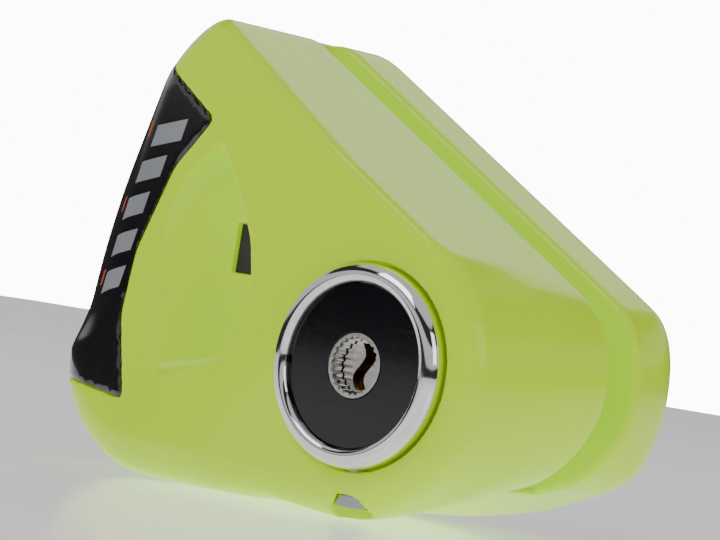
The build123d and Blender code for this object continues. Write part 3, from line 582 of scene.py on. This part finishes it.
@dataclass
class Casting:
    """The painted casting and the black cover that wraps its left end."""

    slot_half: float = 3.5
    face_y: float = -31.3
    back_y: float = 21.0
    base_z: float = -21.0
    nose: tuple = (7.3, 2.3)
    nose_r: float = 14.4
    nose_turn: float = -25.0
    top: tuple = (-40.5, 40.8)
    top_r: float = 5.0
    boss_r: float = 17.9
    barrel_r: float = 20.6
    foot_r: float = 24.5
    belly_at: tuple = (-26.9, 61.4)
    belly_r: float = 82.7
    boss_start: tuple = (11.0, 17.5)
    boss_end_x: float = 5.0
    bore_r: float = 14.25
    bore_end_y: float = -10.0
    bush_r: float = 8.68
    bush_end_y: float = 11.4
    latch_r: float = 16.3
    cover_t: float = 1.5
    cover_gap: float = 0.06
    cover_back_y: float = 14.5
    recess_floor_y: float = -22.5
    facet: float = 0.55
    cell: float = 0.5
    slope: float = 0.169
    slope_x: float = -18.0
    tilt: float = 0.064
    tail: tuple = (21.7, 9.0)
    tail_lean: tuple = (12.0, 5.0, 13.0)
    join: float = 4.0
    crown_turn: float = 97.0
    grid_low: tuple = (-65.5, -33.5, -23.0)
    grid_high: tuple = (24.0, 23.0, 48.0)
    screw_y: float = -28.0
    head_r: float = 2.75
    seat_z: float = -17.4
    shank_r: float = 2.1
    seat_edge: float = 0.35
    zone_corners: tuple = ((-75.0, 53.1), (-37.0, 31.0), (-43.5, 23.6), (-48.3, 11.0), (-48.8, 1.5),
                           (-44.8, -10.4), (-75.0, -6.9))
    throat_corners: tuple = ((-44.5, 60.0), (-41.6, 45.0), (-31.0, 20.0), (-16.5, -2.5), (-6.0, -11.5),
                             (8.6, -14.2), (45.0, -16.0), (60.0, 60.0))
    recess_corners: tuple = ((-34.4, 27.9), (-28.0, 20.0), (-24.4, 14.9), (-22.4, 8.5), (-22.1, 3.0),
                             (-26.5, -2.4), (-43.6, -7.6), (-44.8, 7.0), (-43.3, 15.6), (-40.5, 21.4))

    def __post_init__(self) -> None:
        """Keep the side-view polygons as tables."""
        self.side = SideTable(self.outline())
        self.zone = SideTable(self.rounded(self.zone_corners, 0.8))
        self.throat = SideTable(self.rounded(self.throat_corners, 2.4))
        self.recess = SideTable(self.rounded(self.recess_corners, 1.2))

    @staticmethod
    def rounded(corners: Array | tuple, spread: float) -> Array:
        """Resample a closed polygon evenly and average each point with its neighbours by a bell weight.

        Args:
            corners: Corners in order.
            spread: Width of the bell along the line, in millimetres.

        Returns:
            Smooth polygon.
        """
        points = np.asarray(corners, float)
        closed = np.vstack([points, points[:1]])
        along = np.concatenate([[0], np.cumsum(np.hypot(*np.diff(closed, axis=0).T))])
        count = int(along[-1] / 0.5)
        at = along[-1] * np.arange(count) / count
        even = np.stack([np.interp(at, along, closed[:, k]) for k in (0, 1)], 1)
        reach = np.minimum(np.arange(count), count - np.arange(count)) * along[-1] / count
        bell = np.exp(-0.5 * (reach / spread) ** 2)
        bell /= bell.sum()
        turned_to = np.fft.fft(bell)[:, None]
        return np.real(np.fft.ifft(np.fft.fft(even, axis=0) * turned_to, axis=0))[::2]

    def outline(self) -> Array:
        """Side view: straight top edge tangent to the top corner and the nose, bulging end, flat base."""
        dx, dz = self.nose[0] - self.top[0], self.nose[1] - self.top[1]
        turn = math.atan2(dz, dx) + math.acos((self.top_r - self.nose_r) / math.hypot(dx, dz))
        low = math.radians(self.nose_turn)
        nose = turn + (low - turn) * np.linspace(0, 1, 24)
        ends = np.array(self.nose) + self.nose_r * np.stack([np.cos(nose), np.sin(nose)], 1)
        belly = arc_through(tuple(ends[-1]), (11.9, -14.74), (-0.5, self.base_z), 12)
        base = np.array([(-0.5, self.base_z), (-20.0, self.base_z), (-40.0, self.base_z)])
        heel = arc_through((-40.0, self.base_z), (-53.0, -17.6), (-63.2, -5.0), 14)
        end = arc_through((-63.6, -5.0), (-61.4, 20.0), (-55.2, 39.4), 16)
        cap = arc_through((-55.2, 39.4), (-48.5, 44.3), (-41.1, 45.8), 8)
        first = math.radians(self.crown_turn)
        crown = first + (turn - first) * np.linspace(0, 1, 8)
        corner = np.array(self.top) + self.top_r * np.stack([np.cos(crown), np.sin(crown)], 1)
        return self.rounded(np.vstack([ends, belly[1:], base, heel[1:], end, cap, corner]), 1.1)

    def front(self, x: Array, z: Array) -> Array:
        """Depth of the key-side face, which falls back to the left and leans with height."""
        tilt = self.face_y - self.slope * (x - self.slope_x) + self.tilt * z
        return self.face_y + 0.5 * ((tilt - self.face_y) + np.hypot(tilt - self.face_y, 0.5)) - 0.25

    def belly(self, x: Array, z: Array) -> Array:
        """Underside that rises to the nose on a wide arc, and is level to the left of its lowest point."""
        arc = np.hypot(x - self.belly_at[0], z - self.belly_at[1]) - self.belly_r
        return np.where(x > self.belly_at[0], arc, self.belly_at[1] - z - self.belly_r)

    def outer(self, p: Array) -> Array:
        """Closed outer form: side view, both broad faces and the boss, with rounds that vary.

        Args:
            p: Points in millimetres.

        Returns:
            Distance, negative inside.
        """
        x, y, z = p.T
        side = self.side(p)
        left = ramp(-x, 36.0, 56.0)
        front_r = 1.4 + 4.6 * ramp(-z, 4.0, 17.0) + 11.5 * left * ramp(z, -16.0, 4.0)
        front_r = np.minimum(front_r, 13.5)
        back_r = 10.0 + 3.5 * left
        d = round_cut(side, (self.front(x, z) - y) * 0.985, front_r)
        across, away, length = self.tail_lean
        taper = ((x - self.tail[0]) * across + (y - self.tail[1]) * away) / length
        d = round_cut(d, y - self.back_y, back_r)
        d = round_cut(d, taper, 4.0)
        t = np.clip((y - self.face_y) / (-self.slot_half - self.face_y), 0, 1)
        cone = np.hypot(x - t * self.nose[0], z - t * self.nose[1]) - (
            self.boss_r + t * (self.nose_r - self.boss_r))
        barrel = np.hypot(x, z) - (self.boss_r + t * (self.barrel_r - self.boss_r))
        edge = (self.boss_start[0] - self.boss_end_x, self.boss_start[1] - self.base_z)
        arm = ((x - self.boss_start[0]) * edge[1] - (z - self.boss_start[1]) * edge[0]) / math.hypot(*edge)
        foot = np.hypot(x - t * self.nose[0], z - t * self.nose[1]) - (
            self.foot_r + t * (self.nose_r - self.foot_r))
        d = round_cut(d, soft_join(self.belly(x, z), foot, self.join), 2.0)
        near = soft_join(soft_join(cone, barrel, self.join), arm, self.join) - 30.0 * ramp(y, -2.0, 2.0)
        near = round_cut(near, self.face_y - y, 3.6)
        return round_cut(d, near, 0.8)

    def floor(self, x: Array, z: Array) -> Array:
        """Depth of the recess floor: the least deep of a slanting, a flat and a diagonal facet."""
        rise = -26.8 + (x + 44.8) * (5.6 / 14.0)
        ridge = self.recess_floor_y - self.facet * np.maximum(((-x - 31.0) * 0.8 - (z - 2.0) * 0.6), 0.0)
        return np.minimum(np.minimum(rise, self.recess_floor_y + 0.0 * z), ridge)

    def casting(self, p: Array) -> Array:
        """Casting: the outer form less slot, bores, recess, port, cover seat and alarm room.

        Args:
            p: Points in millimetres.

        Returns:
            Distance, negative inside.
        """
        x, y, z = p.T
        shape = self.outer(p)
        d = shape
        slot = np.maximum(np.abs(y) - self.slot_half, self.throat(p))
        d = round_cut(d, -slot, 0.9)
        hollow = round_cut(self.recess(p), y - self.floor(x, z), 1.6)
        d = round_cut(d, -hollow, 0.7)
        d = round_cut(d, -tube(p, self.bore_r, -60.0, self.bore_end_y), 0.5)
        d = np.maximum(d, -tube(p, self.latch_r, -23.3, -19.4))
        d = np.maximum(d, -tube(p, 15.65, -18.7, -17.1))
        d = np.maximum(d, -tube(p, self.bush_r, self.bore_end_y - 1.0, self.bush_end_y))
        screw = np.hypot(x, y - self.screw_y)
        d = round_cut(d, -np.maximum(screw - self.head_r, z - self.seat_z), self.seat_edge)
        d = np.maximum(d, -np.maximum(screw - self.shank_r, z + 13.0))
        d = round_cut(d, -box_field(p, (-32.75, -28.25), (-40.0, -19.8), (9.95, 17.05), 0.3), self.seat_edge)
        d = np.maximum(d, -box_field(p, (-56.0, -33.0), (-17.0, 15.5), (-12.0, 27.0), 3.0))
        d = np.maximum(d, -box_field(p, (-80.0, -50.0), (-10.0, 11.0), (-5.0, 22.0), 1.0))
        d = np.maximum(d, -box_field(p, (-34.0, -21.3), (-16.8, -10.2), (-6.2, 0.2)))
        d = np.maximum(d, -np.maximum(np.hypot(y + 13.5, z + 3.0) - 1.6, np.abs(x + 18.0) - 6.0))
        gasket = box_field(p, (-80.0, -45.0), (-13.2, 14.2), (-8.2, 25.2))
        d = np.maximum(d, -np.maximum(gasket, -(shape + 2.7)))
        seat = np.maximum(self.zone(p), -(shape + self.cover_t + self.cover_gap))
        seat = np.maximum(seat, y - self.cover_back_y)
        return round_cut(d, -seat, self.seat_edge)

    def cover(self, p: Array) -> Array:
        """Cover: the shell of the outer form inside its zone, less a gap all round.

        Args:
            p: Points in millimetres.

        Returns:
            Distance, negative inside.
        """
        shape = self.outer(p)
        wall = np.abs(shape + self.cover_t / 2) - self.cover_t / 2
        zone = np.maximum(self.zone(p), p[:, 1] - self.cover_back_y) + self.cover_gap
        return round_cut(wall, zone, 0.4)

    def build(self, wardrobe: Wardrobe) -> None:
        """Make the casting, the cover and the cover's printed pattern.

        Args:
            wardrobe: Finishes of the lock.
        """
        low, high = np.array(self.grid_low), np.array(self.grid_high)
        for name, shape, finish in (("casting_body", self.casting, PAINT), ("wrap_cover", self.cover, GLOSS)):
            node = "body_casting" if shape == self.casting else "side_cover"
            points, quads = skin_of(shape, low, high, self.cell)
            piece = put_mesh(name, settle(shape, points), quads, 40.0)
            wardrobe.add(piece, finish, Body.HOUSING, node)
        self.pattern(wardrobe)

    def patch(self, name: str, corner: tuple, along: tuple, across: tuple) -> bpy.types.Object:
        """Thin printed mark on the cover: a parallelogram in the side view, carried on to the form.

        Args:
            name: Name of the mark.
            corner: Side-view position of its first corner.
            along: Its long side.
            across: Its short side.

        Returns:
            The new object.
        """
        u, v = np.meshgrid(np.linspace(0, 1, 25), np.linspace(0, 1, 9), indexing="ij")
        x = corner[0] + u * along[0] + v * across[0]
        z = corner[1] + u * along[1] + v * across[1]
        start = np.stack([x, self.front(x, z), z], -1).reshape(-1, 3)
        top = settle(self.outer, start, 0.03, 12).reshape(*u.shape, 3)
        bottom = settle(self.outer, start, -0.1, 12).reshape(*u.shape, 3)
        return put_mesh(name, *slab(top, bottom))

    def pattern(self, wardrobe: Wardrobe) -> None:
        """Plain slanted bars and short dashes, as a printed decoration.

        Args:
            wardrobe: Finishes of the lock.
        """
        for k, (x, z, length) in enumerate(((-55.0, 4.0, 4.6), (-54.2, 9.5, 4.8), (-53.2, 15.0, 4.8),
                                            (-51.6, 20.5, 5.4), (-49.6, 26.0, 6.4))):
            piece = self.patch(f"grey_bar_{k + 1}", (x, z), (length, 1.4), (0.7, 3.2))
            wardrobe.add(piece, GREY_PRINT, Body.HOUSING)
        for k, (x, z) in enumerate(((-56.6, 5.2), (-55.0, 16.2), (-51.6, 27.4))):
            piece = self.patch(f"orange_dash_{k + 1}", (x, z), (0.9, 0.3), (0.5, 2.2))
            wardrobe.add(piece, ORANGE_PRINT, Body.HOUSING)


# ---------------------------------------------------------------- lock cylinder

@dataclass
class CylinderFace:
    """Bezel ring, dark face plate and ribbed keyhole sleeve on the plunger."""

    face_y: float = -31.3
    ring_r: float = 14.0
    ring_in_r: float = 11.3
    proud: float = 2.5
    lip: float = 0.9
    plate_t: float = 1.3
    keyhole_r: float = 4.45
    sleeve_t: float = 0.75
    sleeve_depth: float = 0.8
    ribs: int = 24
    rib_depth: float = 0.28
    steps: int = 192

    def ring(self) -> tuple[Array, Array]:
        """Domed ring: a quarter round outside, a small lip round inside, turned about the axis."""
        front = self.face_y - self.proud
        round_r = self.ring_r - self.ring_in_r - self.lip
        crown = self.ring_r - round_r
        a = np.linspace(0, math.pi / 2, 14)
        outer = np.stack([crown + round_r * np.cos(a), front + round_r * (1 - np.sin(a))], 1)
        inner = np.stack([self.ring_in_r + self.lip * (1 - np.sin(a)), front + self.lip * (1 - np.cos(a))], 1)
        base = np.array([(self.ring_in_r, self.face_y), (self.ring_r, self.face_y)])
        return turned(np.vstack([outer, inner, base]), self.steps)

    def plate(self) -> tuple[Array, Array]:
        """Flat plate with a small bevel round its rim and round the keyhole, turned about the axis."""
        rim, front, bevel = self.ring_in_r - 0.05, self.face_y - self.plate_t, 0.15
        profile = [(self.keyhole_r, self.face_y), (self.keyhole_r, front + bevel),
                   (self.keyhole_r + bevel, front), (7.0, front), (rim - bevel, front), (rim, front + bevel), (rim, self.face_y)]
        return turned(np.array(profile), self.steps)

    def sleeve(self) -> tuple[Array, Array]:
        """Sleeve whose inner wall swings in radius with the angle, one swing for each rib."""
        outer, inner = self.keyhole_r - 0.05, self.keyhole_r - 0.05 - self.sleeve_t
        front, back = self.face_y - self.plate_t, self.face_y + self.sleeve_depth
        profile = np.array([(inner, front + 0.2), (inner + 0.1, front), (outer, front),
                            (outer, self.face_y + 0.05), (outer + 1.0, self.face_y + 0.05), (outer + 1.0, back), (inner, back)])
        ribbed = np.array([True, True, False, False, False, False, True])
        return turned(profile, self.ribs * 12, self.ribs, self.rib_depth, ribbed)

    def build(self, wardrobe: Wardrobe) -> None:
        """Make the three pieces and put them on the plunger.

        Args:
            wardrobe: Finishes of the lock.
        """
        # The mirror plate's near-black colour is a painted dark reflection.
        for name, made, finish, node in (("domed_ring", self.ring(), CHROME, "bezel_ring"),
                                         ("mirror_plate", self.plate(), PAINTED_DARK_REFLECTION, "face_plate"),
                                         ("ribbed_sleeve", self.sleeve(), BRIGHT, "keyhole_sleeve")):
            wardrobe.add(put_mesh(name, *made), finish, Body.PLUNGER, node)


# ---------------------------------------------------------------- studio

@dataclass
class Studio:
    """Pale floor, soft lights and the camera."""

    target: tuple = (0.0, -0.0313, 0.0)
    right: tuple = (0.7733, 0.6143, 0.1567)
    up: tuple = (-0.1318, -0.0860, 0.9876)
    toward: tuple = (0.6201, -0.7844, 0.0145)
    distance: float = 0.52
    lens: float = 193.2
    lift: float = 1.43

    def camera(self) -> None:
        """Camera on the line of sight, turned up a little so that the cylinder sits low."""
        data = bpy.data.cameras.new("view")
        data.lens = self.lens
        data.clip_start = 0.01
        eye = bpy.data.objects.new("view", data)
        bpy.context.scene.collection.objects.link(eye)
        right, up, toward = Vector(self.right), Vector(self.up), Vector(self.toward)
        angle = math.radians(self.lift)
        new_toward = (toward * math.cos(angle) - up * math.sin(angle)).normalized()
        new_up = new_toward.cross(right).normalized()
        new_right = new_up.cross(new_toward).normalized()
        turn = Matrix((new_right, new_up, new_toward)).transposed().to_4x4()
        eye.matrix_world = Matrix.Translation(Vector(self.target) + toward * self.distance) @ turn
        bpy.context.scene.camera = eye

    def ground(self) -> None:
        """Floor at the lowest point of the part: a wide level slab."""
        level = CAD_BOX[0].z / MM
        s = np.linspace(-1, 1, 81)
        x, y = np.meshgrid(s * 1500, s * 1500, indexing="ij")
        top = np.stack([x, y, np.full(x.shape, level)], -1)
        bottom = top - np.array([0, 0, 20.0])
        floor = put_mesh("floor", *slab(top, bottom))
        white = Finish("studio_white", "none", (0.9, 0.9, 0.9), (0.88, 0.88, 0.88), 0.0, (0.12, 0.18), 20.0, 0.0,
                       glow=0.6)
        floor.data.materials.append(white.build())

    def light(self, name: str, at: tuple, size: float, power: float) -> None:
        """Square soft light aimed at the part.

        Args:
            name: Name of the light.
            at: Place in metres.
            size: Side in metres.
            power: Power in watts.
        """
        data = bpy.data.lights.new(name, "AREA")
        data.size = size
        data.energy = power
        lamp = bpy.data.objects.new(name, data)
        bpy.context.scene.collection.objects.link(lamp)
        place = Vector(at)
        lamp.matrix_world = Matrix.Translation(place) @ (-place).to_track_quat("-Z", "Y").to_matrix().to_4x4()

    @staticmethod
    def sky(world: bpy.types.World) -> None:
        """White to the eye, dimmer for soft light, and banded dark and pale for reflections.

        Args:
            world: World that gets the nodes.
        """
        nodes, links = world.node_tree.nodes, world.node_tree.links
        plain = nodes["Background"]
        plain.inputs["Color"].default_value = (1.0, 1.0, 1.0, 1.0)
        plain.inputs["Strength"].default_value = 0.22
        seen = nodes.new("ShaderNodeBackground")
        seen.inputs["Color"].default_value = (1.0, 1.0, 1.0, 1.0)
        seen.inputs["Strength"].default_value = 12.0
        banded = nodes.new("ShaderNodeBackground")
        place = nodes.new("ShaderNodeTexCoord")
        bands = nodes.new("ShaderNodeTexWave")
        bands.bands_direction = "Z"
        bands.inputs["Scale"].default_value = 0.55
        bands.inputs["Distortion"].default_value = 1.2
        tones = nodes.new("ShaderNodeValToRGB")
        tones.color_ramp.elements[0].position = 0.3
        tones.color_ramp.elements[0].color = (0.03, 0.03, 0.03, 1.0)
        tones.color_ramp.elements[1].position = 0.55
        tones.color_ramp.elements[1].color = (0.6, 0.6, 0.6, 1.0)
        path = nodes.new("ShaderNodeLightPath")
        mix = nodes.new("ShaderNodeMixShader")
        links.new(place.outputs["Generated"], bands.inputs["Vector"])
        links.new(bands.outputs["Fac"], tones.inputs["Fac"])
        links.new(tones.outputs["Color"], banded.inputs["Color"])
        links.new(path.outputs["Is Glossy Ray"], mix.inputs["Fac"])
        links.new(plain.outputs["Background"], mix.inputs[1])
        links.new(banded.outputs["Background"], mix.inputs[2])
        sight = nodes.new("ShaderNodeMixShader")
        links.new(path.outputs["Is Camera Ray"], sight.inputs["Fac"])
        links.new(mix.outputs["Shader"], sight.inputs[1])
        links.new(seen.outputs["Background"], sight.inputs[2])
        links.new(sight.outputs["Shader"], nodes["World Output"].inputs["Surface"])

    def build(self) -> None:
        """Make the world, floor, lights and camera."""
        world = bpy.data.worlds.new("studio")
        world.use_nodes = True
        self.sky(world)
        bpy.context.scene.world = world
        self.ground()
        self.light("key", (-0.2, -0.6, 0.7), 0.5, 2.4)
        self.light("side", (0.7, -0.1, 0.35), 0.4, 1.0)
        self.light("back", (-0.3, 0.6, 0.6), 0.5, 1.0)
        self.camera()


def main() -> None:
    """Build every class in order and dress the CAD nodes that stay in sight."""
    logging.basicConfig(level=logging.INFO, format="%(name)s %(message)s")
    wardrobe = Wardrobe({})
    for finish, names in NODE_FINISHES.items():
        for name in names:
            wardrobe.dress(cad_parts[name], finish)
            LOG.info("%s: %s", name, finish.name)
    for name in ("locking_pin", "keyhole_sleeve"):
        wardrobe.dress(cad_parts[name], STEEL)
    Casting().build(wardrobe)
    CylinderFace().build(wardrobe)
    Studio().build()


if __name__ == "__main__":
    main()
